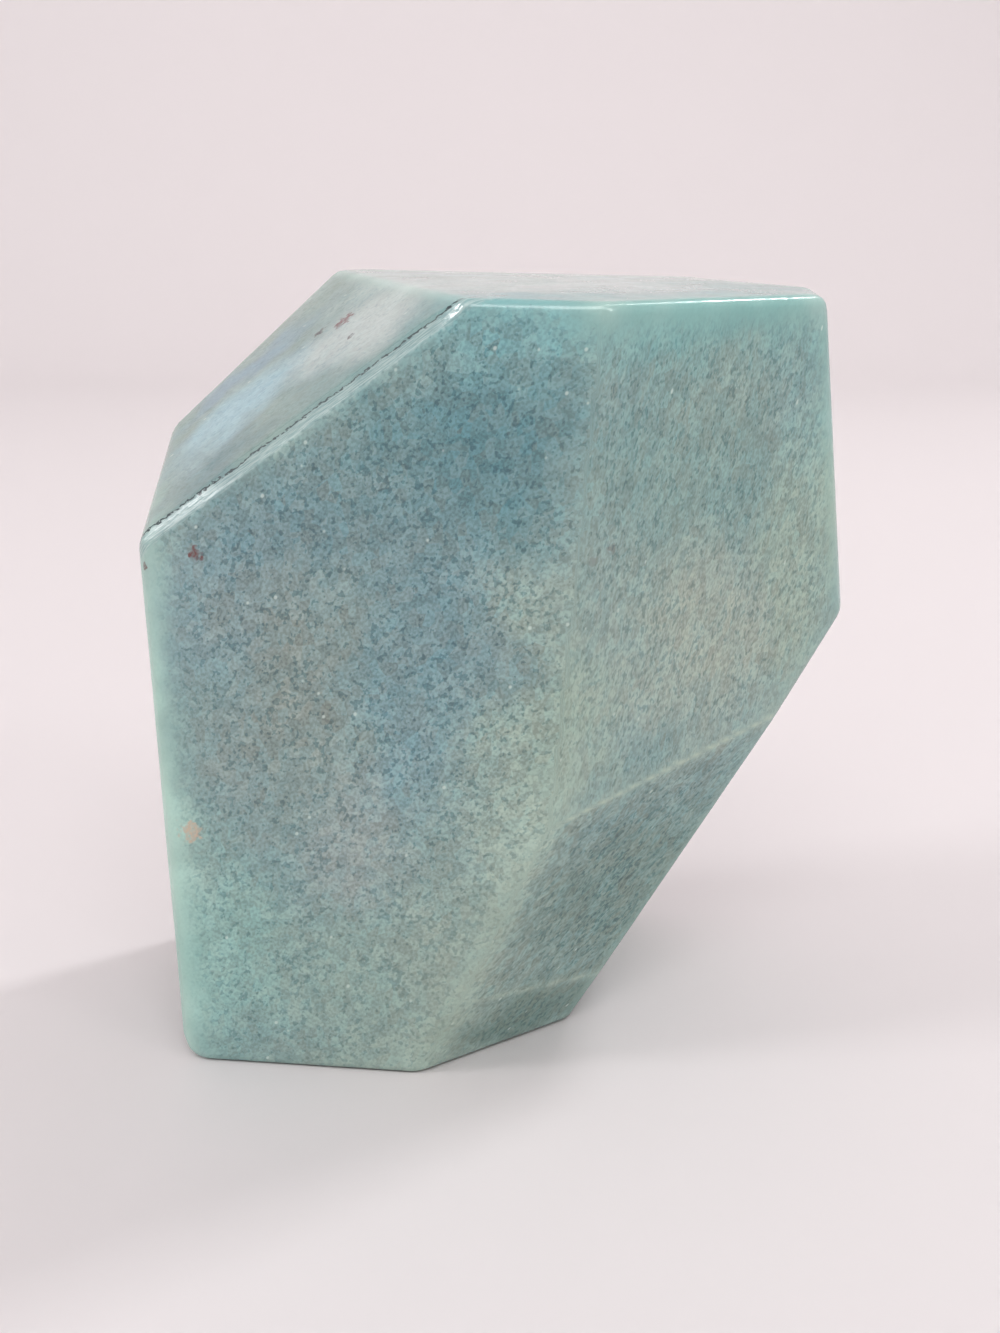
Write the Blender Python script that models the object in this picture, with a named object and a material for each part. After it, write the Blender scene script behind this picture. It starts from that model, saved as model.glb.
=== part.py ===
# A hand-polished free-form trolleite: one piece of stone with ground flats and rounded edges.
# Metres, +Z up. The front looks towards -Y, and the stone stands on its base at z = 0,
# with the origin under the middle of its box.

import math
from collections import namedtuple

import bmesh
import bpy
from mathutils import Matrix, Vector

# The middle point of the stone is this far above its base, and every reach starts there.
MIDDLE_HEIGHT = 0.040
# The rough block that the flats are ground from, larger than the finished stone all round.
BLOCK_SIDE = 0.120

# heading: degrees round from the front, positive towards the right-hand side
# lean: degrees that the flat looks up, negative where it hangs over
# reach: metres from the middle point to the flat
Flat = namedtuple("Flat", "heading lean reach")
FLATS = {
    "base": Flat(0.0, -90.0, MIDDLE_HEIGHT),
    "front": Flat(-6.5, 0.0, 0.0198),
    "right_front": Flat(31.0, -3.0, 0.0205),
    "under": Flat(34.5, -16.5, 0.0221),
    "foot": Flat(34.0, -19.8, 0.0237),
    "slope": Flat(-62.5, 49.5, 0.0358),
    "top": Flat(18.0, 86.6, 0.03788),
    "left": Flat(-86.5, -1.0, 0.0350),
    "right_side": Flat(84.0, 7.5, 0.0359),
    "right_lee": Flat(80.0, -31.0, 0.0278),
    "back": Flat(176.5, 3.0, 0.0185),
    "back_left": Flat(208.5, 5.0, 0.0257),
    "back_right": Flat(130.5, 3.0, 0.0274),
}

# Radius of each rounded edge: the wheel has taken some of them further down than the rest.
EDGE_RADIUS = 0.0016
EDGE_RADII = {
    ("front", "under"): 0.0036,
    ("foot", "front"): 0.0036,
    ("front", "right_front"): 0.0030,
    ("right_front", "under"): 0.0012,
    ("foot", "under"): 0.0030,
    ("base", "front"): 0.0008,
    ("base", "foot"): 0.0010,
    ("base", "left"): 0.0030,
    ("front", "left"): 0.0022,
    ("left", "slope"): 0.0030,
    ("front", "slope"): 0.0012,
    ("front", "top"): 0.0010,
    ("right_front", "top"): 0.0009,
    ("right_front", "right_side"): 0.0020,
    ("right_lee", "right_side"): 0.0025,
}
EDGE_SEGMENTS = 4

# The general colour under the polish, as linear light, and how glossy the polish is.
STONE_COLOUR = (0.21, 0.31, 0.31, 1.0)
STONE_ROUGHNESS = 0.25


def clear_scene():
    for thing in list(bpy.data.objects):
        bpy.data.objects.remove(thing)


def facing(flat):
    """The direction that a flat looks in."""
    heading = math.radians(flat.heading)
    lean = math.radians(flat.lean)
    level = math.cos(lean)
    return Vector((math.sin(heading) * level, -math.cos(heading) * level, math.sin(lean)))


def grind_flats(bm, flat_of):
    """Cuts the block back to each flat in turn, and notes on each face which flat it is."""
    middle = Vector((0.0, 0.0, MIDDLE_HEIGHT))
    for number, flat in enumerate(FLATS.values()):
        normal = facing(flat)
        cut = bmesh.ops.bisect_plane(
            bm,
            geom=bm.verts[:] + bm.edges[:] + bm.faces[:],
            plane_co=middle + normal * flat.reach,
            plane_no=normal,
            clear_outer=True,
        )
        rim = [item for item in cut["geom_cut"] if isinstance(item, bmesh.types.BMEdge)]
        made = bmesh.ops.contextual_create(bm, geom=rim)
        for face in made["faces"]:
            face[flat_of] = number


def setback(edge, flat_of):
    """How far from a sharp edge its rounding starts, measured along either flat."""
    names = list(FLATS)
    pair = tuple(sorted(names[face[flat_of]] for face in edge.link_faces))
    radius = EDGE_RADII.get(pair, EDGE_RADIUS)
    return radius * math.tan(edge.calc_face_angle() / 2)


def weigh_edges(bm, flat_of):
    """Writes each edge's setback as a bevel weight, and returns the widest setback."""
    weight = bm.edges.layers.float.new("bevel_weight_edge")
    setbacks = {edge: setback(edge, flat_of) for edge in bm.edges}
    widest = max(setbacks.values())
    for edge, distance in setbacks.items():
        edge[weight] = distance / widest
    return widest


def round_edges(stone, widest):
    bevel = stone.modifiers.new("rounded edges", "BEVEL")
    bevel.limit_method = "WEIGHT"
    bevel.offset_type = "OFFSET"
    bevel.width = widest
    bevel.segments = EDGE_SEGMENTS
    bevel.harden_normals = True


def centre_on_origin(stone):
    """Moves the mesh so that the origin is under the middle of the finished box."""
    bpy.context.view_layer.update()
    finished = stone.evaluated_get(bpy.context.evaluated_depsgraph_get())
    corners = [Vector(corner) for corner in finished.bound_box]
    low = Vector(map(min, zip(*corners)))
    high = Vector(map(max, zip(*corners)))
    middle = (low + high) / 2
    stone.data.transform(Matrix.Translation((-middle.x, -middle.y, -low.z)))


def stone_material():
    material = bpy.data.materials.new("trolleite")
    material.use_nodes = True
    shader = material.node_tree.nodes["Principled BSDF"]
    shader.inputs["Base Color"].default_value = STONE_COLOUR
    shader.inputs["Roughness"].default_value = STONE_ROUGHNESS
    shader.inputs["Metallic"].default_value = 0.0
    return material


def make_stone():
    bm = bmesh.new()
    bmesh.ops.create_cube(bm, size=BLOCK_SIDE)
    bmesh.ops.translate(bm, verts=bm.verts, vec=(0.0, 0.0, MIDDLE_HEIGHT))
    flat_of = bm.faces.layers.int.new("flat")
    grind_flats(bm, flat_of)
    bmesh.ops.recalc_face_normals(bm, faces=bm.faces)
    widest = weigh_edges(bm, flat_of)
    mesh = bpy.data.meshes.new("trolleite_stone")
    bm.to_mesh(mesh)
    bm.free()
    mesh.shade_smooth()
    mesh.materials.append(stone_material())
    stone = bpy.data.objects.new("trolleite_stone", mesh)
    bpy.context.scene.collection.objects.link(stone)
    round_edges(stone, widest)
    centre_on_origin(stone)


clear_scene()
make_stone()
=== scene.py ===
import math

import bpy
import numpy as np
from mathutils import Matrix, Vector, noise


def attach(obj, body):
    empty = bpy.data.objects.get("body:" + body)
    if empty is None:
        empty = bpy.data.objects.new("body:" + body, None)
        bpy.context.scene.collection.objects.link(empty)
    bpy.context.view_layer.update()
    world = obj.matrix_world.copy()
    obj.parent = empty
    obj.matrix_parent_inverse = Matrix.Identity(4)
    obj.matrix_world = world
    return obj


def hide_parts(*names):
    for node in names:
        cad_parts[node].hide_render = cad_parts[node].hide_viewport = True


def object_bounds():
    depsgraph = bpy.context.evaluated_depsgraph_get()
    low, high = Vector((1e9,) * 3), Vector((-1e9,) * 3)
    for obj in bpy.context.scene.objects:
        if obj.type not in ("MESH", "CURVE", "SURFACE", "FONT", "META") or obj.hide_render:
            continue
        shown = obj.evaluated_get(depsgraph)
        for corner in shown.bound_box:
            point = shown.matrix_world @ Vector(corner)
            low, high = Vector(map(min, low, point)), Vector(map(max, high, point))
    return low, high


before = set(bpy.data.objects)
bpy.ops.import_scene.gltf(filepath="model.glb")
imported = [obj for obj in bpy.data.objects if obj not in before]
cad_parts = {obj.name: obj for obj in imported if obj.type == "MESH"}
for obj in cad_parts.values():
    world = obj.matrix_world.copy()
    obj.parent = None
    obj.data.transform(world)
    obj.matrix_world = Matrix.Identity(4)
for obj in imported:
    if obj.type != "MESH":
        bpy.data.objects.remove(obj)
cadLow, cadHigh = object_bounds()
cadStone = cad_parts["trolleite_stone"]
mm = 0.001


def tone(red, green, blue):
    # a colour as a screen shows it, 0 to 255, turned into linear light
    def linear(value):
        value = value / 255
        return value / 12.92 if value < 0.04045 else ((value + 0.055) / 1.055) ** 2.4
    return (linear(red), linear(green), linear(blue), 1)


# Camera, floor and light

camera = {
    "place": (-0.16 * mm, -143.5 * mm, 80 * mm),
    "lookDown": 16.35,          # degrees below level
    "lens": 37.32,              # mm, on a sensor whose long side is 36 mm
}
sweep = {
    "halfWidth": 1.6,           # metres either side of the stone
    "front": -1.2,
    "back": 1.3,
    "wallHeight": 1.5,
    "bend": 0.5,                # radius where the floor turns up into the wall
    "colour": (0.80, 0.765, 0.77, 1),
}
panels = {
    # name: place, width and height, watts, what it points at
    "frontPanel": ((0.05, -1.0, 1.25), (1.2, 0.7), 12, (0, 0.5, 0.15)),
    "leftPanel": ((-1.5, -0.35, 1.15), (0.34, 0.34), 7, (0, 0, 0.05)),
    "rightPanel": ((1.3, -1.2, 0.9), (0.9, 0.9), 15, (0, 0, 0.05)),
    "rightBackLamp": ((0.56, 0.34, 0.86), (0.12, 0.12), 2.6, (0, 0, 0.05)),
}


def deselectAll():
    for thing in bpy.context.selected_objects:
        thing.select_set(False)


def makeCamera():
    lens = bpy.data.cameras.new("photoCamera")
    lens.lens = camera["lens"]
    lens.sensor_width = 36
    lens.clip_start = 0.01
    eye = bpy.data.objects.new("photoCamera", lens)
    eye.location = camera["place"]
    eye.rotation_euler = (math.radians(90 - camera["lookDown"]), 0, 0)
    bpy.context.scene.collection.objects.link(eye)
    bpy.context.scene.camera = eye


def plainMaterial(name, colour, roughness):
    material = bpy.data.materials.new(name)
    material.use_nodes = True
    shader = material.node_tree.nodes["Principled BSDF"]
    shader.inputs["Base Color"].default_value = colour
    shader.inputs["Roughness"].default_value = roughness
    return material


def makeSweep():
    # a floor whose far edge is pulled up into a wall, with the fold bevelled round
    deselectAll()
    depth = sweep["back"] - sweep["front"]
    bpy.ops.mesh.primitive_plane_add(size=1, location=(0, sweep["front"] + depth / 2, -0.02 * mm))
    floor = bpy.context.object
    floor.name = "paleFloor"
    floor.scale = (2 * sweep["halfWidth"], depth, 1)
    bpy.ops.object.transform_apply(location=True, rotation=True, scale=True)
    mesh = floor.data
    for edge in mesh.edges:
        ends = [mesh.vertices[i].co.y for i in edge.vertices]
        edge.select = min(ends) > sweep["back"] - 0.01
    bpy.ops.object.mode_set(mode="EDIT")
    bpy.ops.mesh.select_mode(type="EDGE")
    bpy.ops.mesh.extrude_region_move(TRANSFORM_OT_translate={"value": (0, 0, sweep["wallHeight"])})
    bpy.ops.object.mode_set(mode="OBJECT")
    for edge in mesh.edges:
        ends = [mesh.vertices[i].co for i in edge.vertices]
        edge.select = all(end.y > sweep["back"] - 0.01 and end.z < 0.1 for end in ends)
    bpy.ops.object.mode_set(mode="EDIT")
    bpy.ops.mesh.bevel(offset=sweep["bend"], segments=24)
    bpy.ops.object.mode_set(mode="OBJECT")
    mesh.shade_smooth()
    mesh.materials.append(plainMaterial("palePaper", sweep["colour"], 0.9))


def makeLight():
    for name, (place, (width, height), watts, target) in panels.items():
        lamp = bpy.data.lights.new(name, "AREA")
        lamp.shape = "RECTANGLE"
        lamp.size = width
        lamp.size_y = height
        lamp.energy = watts
        panel = bpy.data.objects.new(name, lamp)
        panel.location = place
        aim = Vector(target) - Vector(place)
        panel.rotation_euler = aim.to_track_quat("-Z", "Y").to_euler()
        bpy.context.scene.collection.objects.link(panel)
    bpy.context.scene.view_settings.view_transform = "Standard"


# The stone's shape

stone = {
    "voxel": 0.47 * mm,         # size of the even squares that its surface is made of
    "crown": 0.14 * mm,         # how far the wheel left the middle of each flat standing proud
    "crownWidth": 7 * mm,       # the crown is flat past this distance from an edge
    "wave": 0.035 * mm,         # height of the slow waves left by hand polishing
    "waveLength": 9 * mm,
    "calmerFlats": {"top": 0.3, "slope": 0.6},      # their waves, as a share of the others'
}

# The way each flat faces: degrees round from the front, and degrees up.
flats = {
    "base": (0, -90),
    "front": (-6.5, 0),
    "rightFront": (31, -3),
    "under": (34.5, -16.5),
    "foot": (34, -19.8),
    "slope": (-62.5, 49.5),
    "top": (18, 86.6),
    "left": (-86.5, -1),
    "rightSide": (84, 7.5),
    "rightLee": (80, -31),
    "back": (176.5, 3),
    "backLeft": (208.5, 5),
    "backRight": (130.5, 3),
}

# Painted light: along these edges the stone's colour is paled as a painted glow, as if light came
# through them, and the slope/top edge carries a painted highlight: the two flats, how strongly,
# how far in.
paintedGlowEdges = [
    ("front", "top", 0.60, 2.6 * mm),
    ("rightFront", "top", 1.00, 3.4 * mm),
    ("front", "left", 1.00, 3.2 * mm),
    ("front", "slope", 0.55, 2.2 * mm),
    ("rightFront", "rightSide", 0.75, 2.6 * mm),
    ("rightFront", "rightLee", 0.55, 2.6 * mm),
    ("under", "rightLee", 0.60, 2.0 * mm),
    ("front", "base", 0.45, 2.0 * mm),
    ("foot", "base", 0.50, 1.6 * mm),
    ("slope", "left", 0.60, 2.5 * mm),
    ("slope", "top", 1.00, 1.0 * mm),
    ("slope", "backLeft", 0.60, 2.5 * mm),
    ("back", "top", 0.70, 3.0 * mm),
    ("backRight", "top", 0.70, 3.0 * mm),
    ("rightSide", "top", 0.70, 3.0 * mm),
    ("left", "backLeft", 0.70, 3.0 * mm),
    ("backRight", "rightSide", 0.70, 3.0 * mm),
    ("backRight", "rightLee", 0.60, 3.0 * mm),
]
# Painted highlights and paler painted light bands along the creases, which keep their grain: the
# two flats, how strongly, how far in.
paintedCreaseLights = [
    ("front", "under", 0.75, 2.6 * mm),
    ("front", "foot", 0.60, 2.6 * mm),
    ("front", "rightFront", 0.25, 2.2 * mm),
    ("rightFront", "under", 1.50, 0.24 * mm),
    ("rightFront", "under", 0.45, 1.3 * mm),
    ("under", "foot", 1.00, 0.26 * mm),
    ("under", "foot", 0.35, 1.0 * mm),
    ("front", "left", 0.65, 0.9 * mm),
    ("left", "base", 0.50, 1.2 * mm),
]


def facing(name):
    heading, lean = (math.radians(angle) for angle in flats[name])
    level = math.cos(lean)
    return np.array((math.sin(heading) * level, -math.cos(heading) * level, math.sin(lean)))


def pointsOf(mesh):
    points = np.empty(len(mesh.vertices) * 3)
    mesh.vertices.foreach_get("co", points)
    return points.reshape(-1, 3)


def ramp(value, start, end):
    # 0 up to the start, 1 from the end on, and smooth between them
    value = np.clip((value - start) / (end - start), 0, 1)
    return value * value * (3 - 2 * value)


def readFlats():
    # each flat's direction, and its distance from the origin as the frame has it
    points = pointsOf(cadStone.data)
    return {name: (facing(name), float((points @ facing(name)).max())) for name in flats}


def cutBlock(planes):
    # a rough block a little over the stone's size, sawn along every flat
    deselectAll()
    middle = (cadLow + cadHigh) / 2
    bpy.ops.mesh.primitive_cube_add(size=1, location=middle)
    block = bpy.context.object
    block.name = "polishedStone"
    block.scale = (cadHigh - cadLow) * 1.1
    bpy.ops.object.transform_apply(location=True, rotation=True, scale=True)
    bpy.ops.object.mode_set(mode="EDIT")
    for direction, reach in planes.values():
        bpy.ops.mesh.select_all(action="SELECT")
        bpy.ops.mesh.bisect(
            plane_co=direction * reach, plane_no=direction, use_fill=True, clear_outer=True
        )
    bpy.ops.mesh.select_all(action="SELECT")
    bpy.ops.mesh.normals_make_consistent(inside=False)
    bpy.ops.object.mode_set(mode="OBJECT")
    return block


def applyModifier(piece, modifier):
    bpy.context.view_layer.objects.active = piece
    bpy.ops.object.modifier_apply(modifier=modifier.name)


def meshEvenly(piece):
    remesh = piece.modifiers.new("evenMesh", "REMESH")
    remesh.mode = "VOXEL"
    remesh.voxel_size = stone["voxel"]
    applyModifier(piece, remesh)
    # the frame's stone has the true flats and rounded edges
    wrap = piece.modifiers.new("ontoFrame", "SHRINKWRAP")
    wrap.wrap_method = "NEAREST_SURFACEPOINT"
    wrap.target = cadStone
    applyModifier(piece, wrap)


def waves(points, length, seed):
    shift = Vector((seed, 0, 0))
    return np.array([noise.noise(Vector(point / length) + shift) for point in points])


def depths(points, planes):
    # how deep each point lies under each flat
    return {name: reach - points @ direction for name, (direction, reach) in planes.items()}


def edgeDistance(planes, under, one, other):
    # from each point to the line where two flats would meet
    turn = float(planes[one][0] @ planes[other][0])
    a, b = under[one], under[other]
    return np.sqrt(np.maximum(a * a + b * b - 2 * a * b * turn, 0) / (1 - turn * turn))


def nearestFlats(under):
    # the name of the flat that each point lies on, and how far in from its nearest edge
    table = np.stack(list(under.values()))
    return np.array(list(under))[np.argmin(table, axis=0)], np.sort(table, axis=0)[1]


def crownFlats(points, planes):
    own, inward = nearestFlats(depths(points, planes))
    crown = stone["crown"] * ramp(inward, 0, stone["crownWidth"])
    wave = stone["wave"] * waves(points, stone["waveLength"], 3)
    wave *= np.clip(4 * inward / stone["crownWidth"], 0, 1)
    for name in planes:
        if name == "base":
            continue
        mine = own == name
        lift = crown[mine] + wave[mine] * stone["calmerFlats"].get(name, 1)
        points[mine] += lift[:, None] * planes[name][0]


# The wheel went once along the edge between the front and the slope, and rocked as it went.
strip = {
    "depth": 0.66 * mm,         # how far the strip cuts the sharp edge back
    "leftRise": 0.14 * mm,      # how much less it cuts at its left end
    "leftShare": 0.22,          # over this share of its length
    "rightRise": 0.46 * mm,
    "rightShare": 0.11,
    "bow": 0.05 * mm,           # how far the middle of its width stands proud
    "bowHalfWidth": 1.089 * mm,
    "twist": 12,                # degrees that the middle of its length leans towards the slope
    "middleLeft": (1.3 / 7, 2.3 / 7),   # where the middle begins and ends, as shares of its length
    "middleRight": (0.92, 0.92 - 1 / 12),
    "leftPolish": 0.5,          # its left end is only half polished
    "leftEnd": (0.5, 0.375),
    "colourReach": (1.9 * mm, 1.5 * mm),    # its painted reflection and dark line fade out this far from the sharp edge
    # painted reflection on the strip: a pale and a darker tone streaked along its scratches, and
    # how much of it
    "paintedReflectionPale": tone(178, 196, 194),
    "paintedReflectionDark": tone(122, 150, 152),
    "share": 0.60,
    "scratchSize": 0.16 * mm,
    "scratchLength": 14,        # times as long as it is wide
    "lower": (1.1 * mm, 0.5 * mm),      # its borders, measured across it from its middle
    "upper": (-0.95 * mm, -0.75 * mm),
    "jag": 1.1 * mm,            # how far the borders stray
    "lineAt": 0.86 * mm,        # a thin broken dark line runs along the upper border
    "lineWidth": (0.18 * mm, 0.08 * mm),
    "line": tone(46, 60, 64),
}


def grindStrip(points, planes):
    front, slope = planes["front"][0], planes["slope"][0]
    corner = np.linalg.solve(
        np.array((front, slope, np.cross(front, slope))),
        np.array((planes["front"][1], planes["slope"][1], 0)),
    )
    along = np.cross(front, slope)
    along /= np.linalg.norm(along) * math.copysign(1, along[0])
    near = edgeDistance(planes, depths(points, planes), "front", "slope") < 2 * mm
    left, right = (points[near] @ along).min(), (points[near] @ along).max()
    share = np.clip((points @ along - left) / (right - left), 0, 1)

    # the way the strip faces, point by point
    middleShare = ramp(share, *strip["middleLeft"]) * ramp(share, *strip["middleRight"])
    twist = math.radians(strip["twist"]) * middleShare
    middle = (front + slope) / np.linalg.norm(front + slope)
    towards = slope - middle * float(slope @ middle)
    towards /= np.linalg.norm(towards)
    direction = np.cos(twist)[:, None] * middle + np.sin(twist)[:, None] * towards

    depth = strip["depth"] - strip["leftRise"] * np.clip(1 - share / strip["leftShare"], 0, 1)
    depth -= strip["rightRise"] * np.clip(1 - (1 - share) / strip["rightShare"], 0, 1)
    over = ((points - corner) * direction).sum(axis=1) + depth
    points -= np.maximum(over, 0)[:, None] * direction
    under = depths(points, planes)
    across = under["slope"] - under["front"]
    bow = np.clip(1 - (across / strip["bowHalfWidth"]) ** 2, 0, 1) * (over > -0.1 * mm)
    points += strip["bow"] * bow[:, None] * direction

    # its middle is dull
    dull = np.maximum(middleShare, strip["leftPolish"] * ramp(share, *strip["leftEnd"]))
    return across, points @ along, dull


def writeAttribute(mesh, name, kind, values):
    attribute = mesh.attributes.new(name, kind, "POINT")
    field = {"FLOAT": "value", "FLOAT_VECTOR": "vector", "FLOAT_COLOR": "color"}[kind]
    attribute.data.foreach_set(field, np.asarray(values, np.float32).ravel())


def makeStone():
    planes = readFlats()
    piece = cutBlock(planes)
    meshEvenly(piece)
    mesh = piece.data
    points = pointsOf(mesh)
    crownFlats(points, planes)
    across, along, dull = grindStrip(points, planes)
    under = depths(points, planes)
    # painted light along the edges: the painted edge glow and the painted crease highlights, one
    # attribute each
    for name, edges in (("rim", paintedGlowEdges), ("paintedCreaseLight", paintedCreaseLights)):
        paintedLight = np.zeros(len(points))
        for one, other, strength, width in edges:
            near = np.exp(-((edgeDistance(planes, under, one, other) / width) ** 1.1))
            paintedLight = np.maximum(paintedLight, strength * near)
        writeAttribute(mesh, name, "FLOAT", paintedLight)
    # the strip's painted reflection stops where its edge stops, and its scratches are drawn out
    # along it
    near = ramp(edgeDistance(planes, under, "front", "slope"), *strip["colourReach"])
    writeAttribute(mesh, "stripNear", "FLOAT", near)
    writeAttribute(mesh, "stripDull", "FLOAT", dull * near)
    across = np.clip(across, -6 * mm, 6 * mm)
    along = along / strip["scratchLength"]
    stripPlace = np.stack((across, along, np.zeros(len(points))), axis=1)
    writeAttribute(mesh, "stripPlace", "FLOAT_VECTOR", stripPlace)
    writeAttribute(mesh, "zoneTone", "FLOAT_COLOR", zoneTones(points))
    places, shares = grainPlaces(points, planes)
    writeAttribute(mesh, "grainPlace", "FLOAT_VECTOR", places)
    writeAttribute(mesh, "grainShare", "FLOAT", shares)
    mesh.vertices.foreach_set("co", points.ravel())
    mesh.update()
    mesh.shade_smooth()
    print("stone:", sum(len(face.vertices) - 2 for face in mesh.polygons), "triangles")
    return piece


# The stone's colours

polish = {
    "drift": [tone(118, 148, 146), tone(134, 156, 147)],    # slow drift of the ground colour
    "driftSize": 24 * mm,
    "zoneWander": 3.5 * mm,     # how far the zones' borders stray
    "wanderSize": 8 * mm,
    # painted glow along the edges: its colour, how much it brightens and mixes, and its greatest
    # share
    "rim": tone(168, 204, 190),
    "rimGain": (1.45, 1.45, 1.45, 1),   # how much the painted edge glow brightens its zone's own colour
    "rimMix": 0.35,
    "rimShare": 0.55,
    # painted highlight along the creases: its colour and its share
    "paintedCreaseLight": tone(184, 200, 182),
    "paintedCreaseShare": 0.50,
    "roughness": (0.12, 0.20),
    "dullRoughness": 0.5,       # in the middle of the ground strip
    "refraction": 1.62,
    "subsurface": 0.25,
    "subsurfaceScale": 2.2 * mm,
    "subsurfaceRadius": (0.85, 1.0, 0.95),
    "bumpStrength": 0.25,
    "bumpHeight": 0.03 * mm,
}
grain = {
    "crystalSize": 0.90 * mm,
    "fineSize": 0.30 * mm,
    "broadSize": 4.5 * mm,      # patches where the crystals are lighter, or the blots thicker
    "lightSpread": 0.17,        # how much lighter or darker than its zone a spot can be
    "tints": (tone(112, 148, 160), tone(160, 152, 144)),
    "tintShare": 0.16,
    "blotSize": 0.46 * mm,      # dark blots between the crystals
    "blotShade": (0.56, 0.66, 0.70, 1),
    "speckCell": 1.6 * mm,      # one speck at most in each cell of this size
    "white": tone(206, 222, 216),
    "whiteFrom": 0.80,          # cells that draw more than this have a white speck
    "black": tone(58, 80, 84),
    "blackBelow": 0.10,
}
# Each flat's grains: degrees they lean right of upright, length over width, width, how strong.
grainLays = {
    "front": (30, 1.25, 1.0, 1.0),
    "rightFront": (16, 2.2, 0.72, 0.85),
    "under": (42, 2.0, 0.8, 1.05),
    "foot": (42, 2.0, 0.8, 0.85),
    "slope": (50, 1.6, 1.0, 0.35),
    "top": (20, 1.5, 1.0, 0.25),
}
otherLay = (18, 1.7, 0.9, 0.8)
# The front is coarsest in its middle and calmest towards its left and bottom.
coarse = {
    "middle": (-7, -20, 52),
    "reach": (26, 30, 34),
    "fade": (0.5, 0.5 + 1 / 1.3),
    "calming": 0.20,
}


# Colour zones: middle and half-widths in mm, colour, strength.
zones = {
    "mintLeftEdge": ((-35, -16, 38), (3.5, 20, 30), tone(160, 196, 184), 0.80),
    "paleLowerEdge": ((-33.5, -16, 10), (3.5, 12, 20), tone(174, 208, 197), 0.50),
    "lilacLeft": ((-26, -17, 50), (11, 20, 12), tone(114, 142, 148), 0.70),
    "tealShoulder": ((-20, -18, 58), (12, 20, 8), tone(86, 125, 133), 0.75),
    "tealHeart": ((-2, -20, 64), (14, 22, 12), tone(70, 119, 125), 0.95),
    "tealTop": ((2, -20, 74), (12, 20, 5), tone(104, 156, 159), 0.80),
    "blueBand": ((-9, -19, 49), (8, 24, 14), tone(97, 132, 138), 0.80),
    "blueRight": ((-3, -20, 47), (6, 14, 11), tone(96, 134, 142), 0.50),
    "blueSpot": ((-10.5, -19, 35), (5, 16, 9), tone(110, 146, 152), 0.75),
    "oliveLeft": ((-20, -18, 41), (6.5, 24, 14), tone(122, 137, 130), 0.85),
    "pinkGrey": ((-15, -18, 26), (6, 18, 8), tone(139, 154, 151), 0.80),
    "greyLeft": ((-26, -17, 32), (5, 18, 10), tone(123, 141, 138), 0.60),
    "mintLowerLeft": ((-28, -17, 12), (8, 26, 14), tone(133, 173, 165), 0.80),
    "sageLowerMiddle": ((-17, -18, 11), (9, 24, 9), tone(131, 157, 148), 0.75),
    "sageMiddle": ((5, -20, 38), (6.5, 18, 12), tone(140, 161, 144), 0.70),
    "creaseHigh": ((0.5, -20, 28), (4.5, 9, 12), tone(148, 170, 157), 0.75),
    "creaseLow": ((-6, -19, 10), (5, 9, 10), tone(128, 148, 138), 0.75),
    "tealRight": ((13, -18, 65), (5, 14, 6), tone(98, 139, 138), 0.60),
    "greenTopRight": ((20, -15, 75), (17, 22, 7), tone(98, 149, 148), 0.85),
    "greyRight": ((21, -15, 59), (14, 24, 11), tone(112, 146, 140), 0.75),
    "sageRight": ((20, -13, 44), (14, 24, 12), tone(151, 165, 152), 0.90),
    "paleRight": ((31, -8, 50), (6, 20, 16), tone(149, 169, 151), 0.60),
    "mintRight": ((34, -8, 68), (5, 20, 12), tone(130, 168, 162), 0.75),
    # painted shade: the undercut and the foot, which face down, are darkened
    "paintedShadeUnder": ((14, -12, 18), (20, 14, 16), tone(100, 130, 121), 0.90),
    "paintedShadeFoot": ((3, -15, 4), (12, 12, 4), tone(84, 114, 104), 0.80),
    # painted reflection: the top face is paled towards the pale wall it reflects at a grazing
    # angle
    "paintedTopReflection": ((8, 4, 85), (60, 40, 10), tone(176, 194, 190), 0.95),
    "blueVein": ((-27, 5, 69), (14, 4, 8), tone(120, 154, 172), 0.70),
    "paleSlope": ((-24, -5, 66), (14, 7, 10), tone(156, 196, 209), 0.70),
    "beigeSlope": ((-13, -9, 74), (11, 9, 6), tone(188, 199, 195), 0.80),
}

# Small marks: place in mm, radius in mm, colour, strength.
marks = {
    "rustSpot": ((-28.6, -16.8, 53.8), 0.90, tone(100, 54, 52), 0.95),
    "rustAtEdge": ((-33.7, -16.2, 52.5), 0.45, tone(100, 62, 58), 0.80),
    "rustLower": ((-31.8, -16.4, 42.4), 0.50, tone(104, 62, 60), 0.75),
    "pinkRound": ((-30.7, -16.5, 25.8), 1.35, tone(190, 164, 142), 0.80),
    "brownRight": ((9.7, -19.2, 54.8), 0.90, tone(96, 84, 84), 0.50),
    "brownMiddle": ((8.1, -20.1, 53.9), 0.70, tone(100, 90, 88), 0.45),
    "slopeRust": ((-15.4, -2.8, 74.2), 1.40, tone(112, 68, 70), 0.90),
    "slopeDark": ((-18.2, -0.9, 72.9), 0.80, tone(48, 48, 52), 0.95),
    "slopeDarkToo": ((-14.2, -8.3, 73.0), 0.60, tone(70, 52, 52), 0.80),
    "darkPit": ((-20.8, -17.7, 62.5), 0.40, tone(30, 34, 36), 0.90),
    "darkDot": ((-5.1, -19.5, 52.8), 0.30, tone(52, 64, 68), 0.85),
    "pinkDot": ((14.0, -16.1, 45.6), 0.40, tone(130, 104, 104), 0.65),
}


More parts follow.
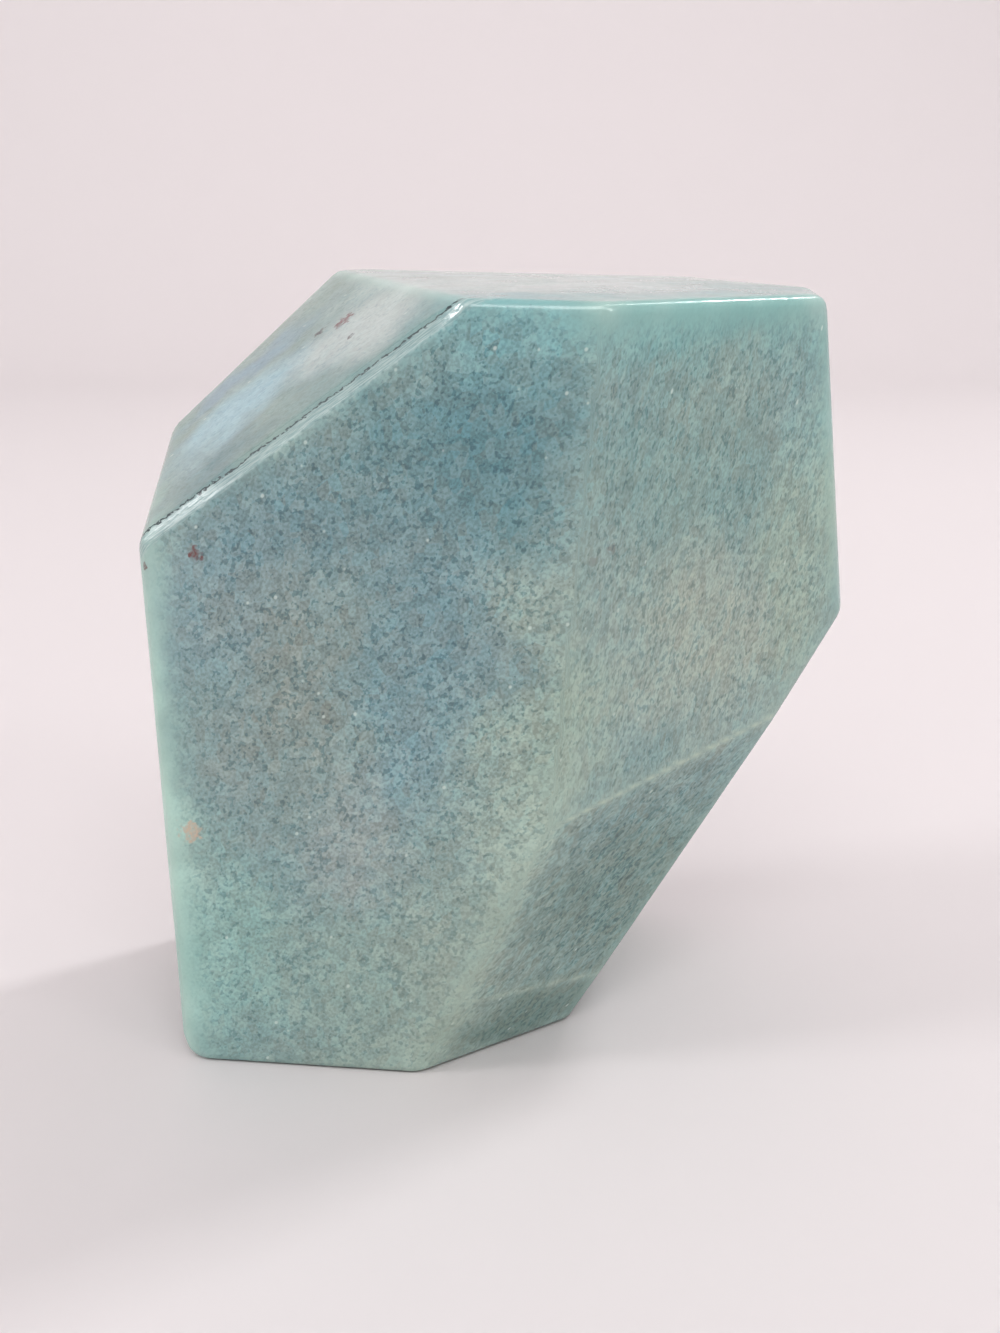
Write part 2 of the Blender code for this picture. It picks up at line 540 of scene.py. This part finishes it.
def zoneTones(points):
    # the slow colours, one for each point of the mesh
    size = polish["wanderSize"]
    wander = np.stack([waves(points, size, seed) for seed in (21, 37, 53)], axis=1)
    finer = np.stack([waves(points, size / 3, seed) for seed in (24, 41, 58)], axis=1)
    strayed = points + polish["zoneWander"] * (wander + finer / 2)
    share = ramp(waves(points, polish["driftSize"], 71), -0.5 / 1.2, 0.5 / 1.2)[:, None]
    colour = np.array(polish["drift"][0]) * (1 - share) + np.array(polish["drift"][1]) * share
    for middle, reach, hue, strength in zones.values():
        offset = (strayed - np.array(middle) * mm) / (np.array(reach) * mm)
        share = strength * ramp(np.linalg.norm(offset, axis=1), 1.25, 0.25)[:, None]
        colour = colour * (1 - share) + np.array(hue) * share
    return colour


def grainPlaces(points, planes):
    # grain coordinates: on each flat the grains lie its own way, as in a cut through crystals
    own = nearestFlats(depths(points, planes))[0]
    places = points.copy()
    shares = np.ones(len(points))
    for name in planes:
        lean, stretch, width, strength = grainLays.get(name, otherLay)
        normal = planes[name][0]
        across = np.cross((0, 1, 0) if abs(normal[2]) > 0.9 else (0, 0, 1), normal)
        across /= np.linalg.norm(across)
        up = np.cross(normal, across)
        turn = math.radians(lean)
        along = up * math.cos(turn) + across * math.sin(turn)
        side = across * math.cos(turn) - up * math.sin(turn)
        mine = own == name
        flat = points[mine]
        laid = np.stack((flat @ side, flat @ along / stretch, flat @ normal), axis=1)
        places[mine] = laid / width
        shares[mine] = strength
    offset = (points - np.array(coarse["middle"]) * mm) / (np.array(coarse["reach"]) * mm)
    calm = ramp(np.linalg.norm(offset, axis=1), *coarse["fade"]) * (own == "front")
    return places, shares * (1 - coarse["calming"] * calm)


def polishedStoneMaterial():
    material = bpy.data.materials.new("trolleitePolish")
    material.use_nodes = True
    nodes, links = material.node_tree.nodes, material.node_tree.links
    shader = nodes["Principled BSDF"]

    def give(socket, value):
        if isinstance(value, bpy.types.NodeSocket):
            links.new(value, socket)
        else:
            socket.default_value = value

    def reckon(operation, one, other=0.0):
        node = nodes.new("ShaderNodeMath")
        node.operation = operation
        give(node.inputs[0], one)
        give(node.inputs[1], other)
        return node.outputs[0]

    def ease(value, low, high, start=0.0, end=1.0):
        node = nodes.new("ShaderNodeMapRange")
        node.interpolation_type = "SMOOTHSTEP"
        give(node.inputs["Value"], value)
        ends = {"From Min": low, "From Max": high, "To Min": start, "To Max": end}
        for name, number in ends.items():
            node.inputs[name].default_value = number
        return node.outputs["Result"]

    def blend(share, one, other, kind="MIX"):
        node = nodes.new("ShaderNodeMix")
        node.data_type = "RGBA"
        node.blend_type = kind
        give(node.inputs["Factor"], share)
        give(node.inputs[6], one)
        give(node.inputs[7], other)
        return node.outputs[2]

    def vectorMath(operation, one, other, third=(0, 0, 0)):
        node = nodes.new("ShaderNodeVectorMath")
        node.operation = operation
        give(node.inputs[0], one)
        give(node.inputs[1], other)
        give(node.inputs[2], third)
        return node.outputs["Value" if operation == "DISTANCE" else "Vector"]

    def cloud(place, size, detail, rough, colour=False):
        node = nodes.new("ShaderNodeTexNoise")
        give(node.inputs["Vector"], place)
        node.inputs["Scale"].default_value = 1 / size
        node.inputs["Detail"].default_value = detail
        node.inputs["Roughness"].default_value = rough
        return node.outputs["Color" if colour else "Fac"]

    def cells(place, size):
        # a cell pattern: the distance to each cell's middle, and two random draws for each cell
        node = nodes.new("ShaderNodeTexVoronoi")
        give(node.inputs["Vector"], place)
        node.inputs["Scale"].default_value = 1 / size
        draws = nodes.new("ShaderNodeSeparateColor")
        links.new(node.outputs["Color"], draws.inputs["Color"])
        return node.outputs["Distance"], draws.outputs[0], draws.outputs[1]

    def attribute(name, socket="Fac"):
        node = nodes.new("ShaderNodeAttribute")
        node.attribute_name = name
        return node.outputs[socket]

    place = nodes.new("ShaderNodeTexCoord").outputs["Object"]
    laid = attribute("grainPlace", "Vector")
    colour = attribute("zoneTone", "Color")
    # the painted edge glow, which also calms the grain near the edges
    rim = attribute("rim")
    inner = reckon("MULTIPLY", ease(rim, 0.75, 0.12, 0.15, 1.0), attribute("grainShare"))
    broad = cloud(place, grain["broadSize"], 2.0, 0.5)
    fine = cloud(laid, grain["fineSize"], 1.0, 0.5)

    # crystals: each a little lighter or darker, bluer or browner than its zone
    lightDraw, tintDraw = cells(laid, grain["crystalSize"])[1:]
    spread = grain["lightSpread"]
    light = ease(fine, 0.34, 0.66, -spread, spread)
    light = reckon("ADD", light, ease(lightDraw, 0, 1, -0.8 * spread, 0.8 * spread))
    light = reckon("ADD", light, ease(broad, 0.3, 0.7, -0.35 * spread, 0.35 * spread))
    light = reckon("ADD", reckon("MULTIPLY", light, inner), 1.05)
    tinted = blend(tintDraw, *grain["tints"])
    colour = blend(reckon("MULTIPLY", inner, grain["tintShare"]), colour, tinted)
    bright = nodes.new("ShaderNodeCombineXYZ")
    for channel in range(3):
        links.new(light, bright.inputs[channel])
    colour = blend(1.0, colour, bright.outputs[0], "MULTIPLY")

    # dark blots lie in crowds
    blots = cloud(laid, grain["blotSize"], 1.5, 0.5)
    crowd = ease(broad, 0.35, 0.65, 0.06, -0.02)
    dark = ease(reckon("SUBTRACT", blots, crowd), 0.555, 0.615)
    dark = reckon("MULTIPLY", dark, inner)
    colour = blend(dark, colour, blend(1.0, colour, grain["blotShade"], "MULTIPLY"))

    # a few specks are white and fewer are nearly black
    speckCells = cells(laid, grain["speckCell"])
    speck, speckDraw = ease(speckCells[0], 0.14, 0.06), speckCells[2]
    white = reckon("MULTIPLY", speck, reckon("GREATER_THAN", speckDraw, grain["whiteFrom"]))
    colour = blend(reckon("MULTIPLY", white, 0.5), colour, grain["white"])
    black = reckon("MULTIPLY", speck, reckon("LESS_THAN", speckDraw, grain["blackBelow"]))
    black = reckon("MULTIPLY", reckon("MULTIPLY", black, inner), 0.6)
    colour = blend(black, colour, grain["black"])

    # painted light: the edges are paled and brightened as a painted glow, as if light came through
    # them
    paintedGlowMask = reckon("ADD", rim, ease(broad, 0.3, 0.7, -0.08, 0.08))
    paintedGlowMask = ease(paintedGlowMask, 0.0, 1.0, 0, polish["rimShare"])
    paintedGlowLit = blend(1.0, colour, polish["rimGain"], "MULTIPLY")
    colour = blend(paintedGlowMask, colour, blend(polish["rimMix"], paintedGlowLit, polish["rim"]))
    # painted highlights along the creases
    paintedCreaseLight = reckon("MULTIPLY", attribute("paintedCreaseLight"), polish["paintedCreaseShare"])
    colour = blend(paintedCreaseLight, colour, polish["paintedCreaseLight"])

    # the ground strip: a painted reflection, streaked along its length by its scratches, with a
    # dark line along its upper border
    stripPlace = attribute("stripPlace", "Vector")
    apart = nodes.new("ShaderNodeSeparateXYZ")
    links.new(stripPlace, apart.inputs[0])
    scratches = cloud(stripPlace, strip["scratchSize"], 2.0, 0.6)
    jag = reckon("MULTIPLY", reckon("SUBTRACT", blots, 0.5), strip["jag"])
    across = reckon("ADD", apart.outputs[0], jag)
    onStrip = reckon("MULTIPLY", ease(across, *strip["upper"]), ease(across, *strip["lower"]))
    onStrip = reckon("MULTIPLY", onStrip, attribute("stripNear"))
    paintedStripReflection = blend(ease(scratches, 0.38, 0.62), strip["paintedReflectionDark"], strip["paintedReflectionPale"])
    colour = blend(reckon("MULTIPLY", onStrip, strip["share"]), colour, paintedStripReflection)
    fromLine = reckon("ABSOLUTE", reckon("ADD", across, strip["lineAt"]))
    line = reckon("MULTIPLY", ease(fromLine, *strip["lineWidth"]), ease(fine, 0.34, 0.44))
    line = reckon("MULTIPLY", line, attribute("stripNear"))
    colour = blend(reckon("MULTIPLY", line, 0.95), colour, strip["line"])

    # marks have ragged borders
    ragged = cloud(place, 0.6 * mm, 1.0, 0.5, colour=True)
    ragged = vectorMath("SUBTRACT", ragged, (0.5, 0.5, 0.5))
    mottle = ease(fine, 0.35, 0.6, 0.55, 1.0)
    for centre, radius, hue, strength in marks.values():
        spot = vectorMath("MULTIPLY_ADD", ragged, (1.7 * radius * mm,) * 3, place)
        away = vectorMath("DISTANCE", spot, tuple(number * mm for number in centre))
        share = ease(away, radius * mm, radius * 0.6 * mm, 0, strength)
        colour = blend(reckon("MULTIPLY", share, mottle), colour, hue)
    links.new(colour, shader.inputs["Base Color"])

    rough = ease(broad, 0.3, 0.7, *polish["roughness"])
    dull = reckon("MULTIPLY", attribute("stripDull"), polish["dullRoughness"])
    links.new(reckon("MAXIMUM", rough, dull), shader.inputs["Roughness"])
    shader.inputs["Subsurface Weight"].default_value = polish["subsurface"]
    shader.inputs["Subsurface Radius"].default_value = polish["subsurfaceRadius"]
    shader.inputs["Subsurface Scale"].default_value = polish["subsurfaceScale"]
    shader.inputs["IOR"].default_value = polish["refraction"]

    # the polish is very slightly uneven, and the strip is scratched
    bump = nodes.new("ShaderNodeBump")
    bump.inputs["Strength"].default_value = polish["bumpStrength"]
    bump.inputs["Distance"].default_value = polish["bumpHeight"]
    height = reckon("ADD", blots, reckon("MULTIPLY", onStrip, scratches))
    links.new(height, bump.inputs["Height"])
    links.new(bump.outputs["Normal"], shader.inputs["Normal"])
    return material


makeCamera()
makeSweep()
makeLight()
print("camera, floor and light made")

polishedStone = makeStone()
polishedStone.data.materials.append(polishedStoneMaterial())
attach(polishedStone, "root")
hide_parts("trolleite_stone")
print("stone finished")
